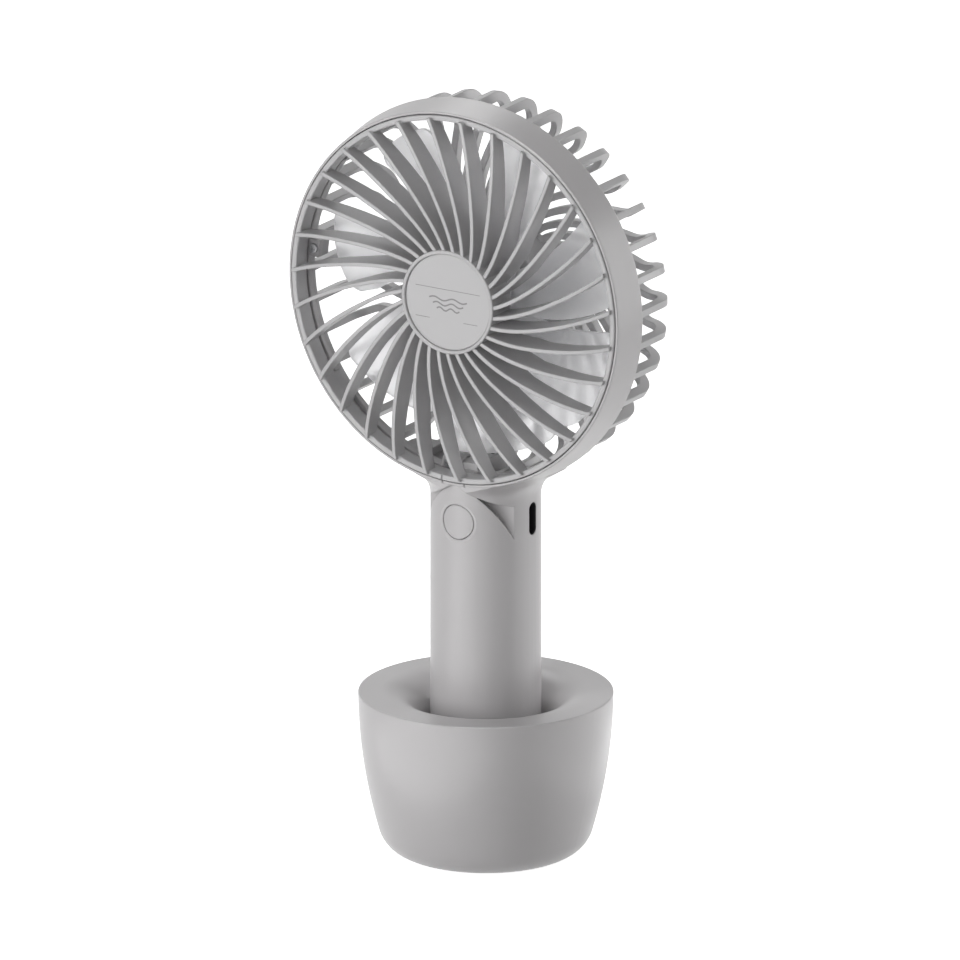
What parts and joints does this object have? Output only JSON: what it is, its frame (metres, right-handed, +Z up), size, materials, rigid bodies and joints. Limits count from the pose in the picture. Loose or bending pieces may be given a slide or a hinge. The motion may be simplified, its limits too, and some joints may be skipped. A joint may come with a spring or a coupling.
{
  "type": "rechargeable hand fan with charging dock",
  "caption": "Handheld fan with a round guarded head on a straight round handle, standing in a low round cup that charges it.",
  "frame": {"origin": "centre of the dock's foot, on the surface it stands on", "axes": "+Z up along the handle, -Y the way the fan blows, +X on the right of somebody who faces the fan"},
  "size_m": [0.1078, 0.0688, 0.2136],
  "materials": {
    "shell_plastic": "fine satin texture",
    "dock_plastic": "fine satin texture",
    "grille_plastic": "satin",
    "badge_plastic": "satin",
    "impeller_plastic": "frosted, slightly translucent",
    "button_plastic": "fine satin texture",
    "inner_plastic": "plain moulded",
    "dark_plastic": "plain moulded",
    "foot_rubber": "matt",
    "screw_steel": "zinc plated",
    "shaft_steel": "ground",
    "spring_steel": "bright",
    "ballast_steel": "cut from plate",
    "electrical_steel": "laminated",
    "magnet": "sintered",
    "copper_wire": "enamelled copper",
    "bronze": "sintered bronze",
    "contact_gold": "gold plated",
    "nickel": "nickel plated",
    "circuit_board": "solder mask",
    "cell_wrap": "shrink wrap",
    "lead_insulation": "insulation"
  },
  "bodies": {
    "dock": {"dock_shell": "dock_plastic", "dock_base": "dock_plastic", "foot_pad": "foot_rubber", "ballast_weight": "ballast_steel", "dock_board": "circuit_board", "dock_usb_socket": "nickel", "dock_usb_tongue": "dark_plastic", "pin_block": "dark_plastic", "centre_pin_spring": "spring_steel", "ring_pin_spring": "spring_steel", "dock_screws": "screw_steel"},
    "centre_pin": {"centre_pin": "contact_gold"},
    "ring_pin": {"ring_pin": "contact_gold"},
    "fan": {"body_shell": "shell_plastic", "rear_cage": "grille_plastic", "rear_hub_cap": "badge_plastic", "cage_screws": "screw_steel", "bearing_tube": "bronze", "motor_screws": "screw_steel", "front_bearing": "bronze", "rear_bearing": "bronze", "motor_board": "circuit_board", "stator_core": "electrical_steel", "stator_coils": "copper_wire", "motor_leads": "lead_insulation", "bottom_cap": "shell_plastic", "cap_screws": "screw_steel", "centre_contact": "contact_gold", "ring_contact": "contact_gold", "inner_frame": "inner_plastic", "battery_cell": "cell_wrap", "battery_terminal_minus": "nickel", "battery_terminal_plus": "nickel", "main_board": "circuit_board", "tact_switch": "dark_plastic", "usb_socket": "nickel", "usb_tongue": "dark_plastic", "charge_leads": "lead_insulation"},
    "grille": {"front_grille": "grille_plastic", "hub_badge": "badge_plastic"},
    "rotor": {"impeller": "impeller_plastic", "rotor_yoke": "electrical_steel", "magnet_ring": "magnet", "motor_shaft": "shaft_steel", "shaft_clip": "spring_steel"},
    "button": {"power_button": "button_plastic"},
    "plunger": {"switch_plunger": "inner_plastic"}
  },
  "joints": [
    {"name": "fan_lift", "type": "slide", "parent": "dock", "child": "fan", "axis": [0, 0, 1], "range_m": [0, 0.05]},
    {"name": "grille_twist", "type": "hinge", "parent": "fan", "child": "grille", "pos_m": [0, -0.0135, 0.1597], "axis": [0, -1, 0], "range_deg": [0, 7.7]},
    {"name": "impeller_spin", "type": "hinge", "parent": "fan", "child": "rotor", "pos_m": [0, -0.002, 0.1597], "axis": [0, -1, 0], "continuous": true},
    {"name": "button_press", "type": "slide", "parent": "fan", "child": "button", "axis": [0, 1, 0], "range_m": [0, 0.0005], "stiffness_N_per_m": 2000},
    {"name": "plunger_press", "type": "slide", "parent": "fan", "child": "plunger", "axis": [0, 1, 0], "range_m": [0, 0.0005], "stiffness_N_per_m": 50},
    {"name": "centre_pin_travel", "type": "slide", "parent": "dock", "child": "centre_pin", "axis": [0, 0, 1], "range_m": [-0.0005, 0], "stiffness_N_per_m": 300, "deforming": ["centre_pin_spring"]},
    {"name": "ring_pin_travel", "type": "slide", "parent": "dock", "child": "ring_pin", "axis": [0, 0, 1], "range_m": [-0.0005, 0], "stiffness_N_per_m": 300, "deforming": ["ring_pin_spring"]}
  ],
  "couplings": [
    {"joint": "plunger_press", "follows": "button_press", "ratio": 1}
  ]
}
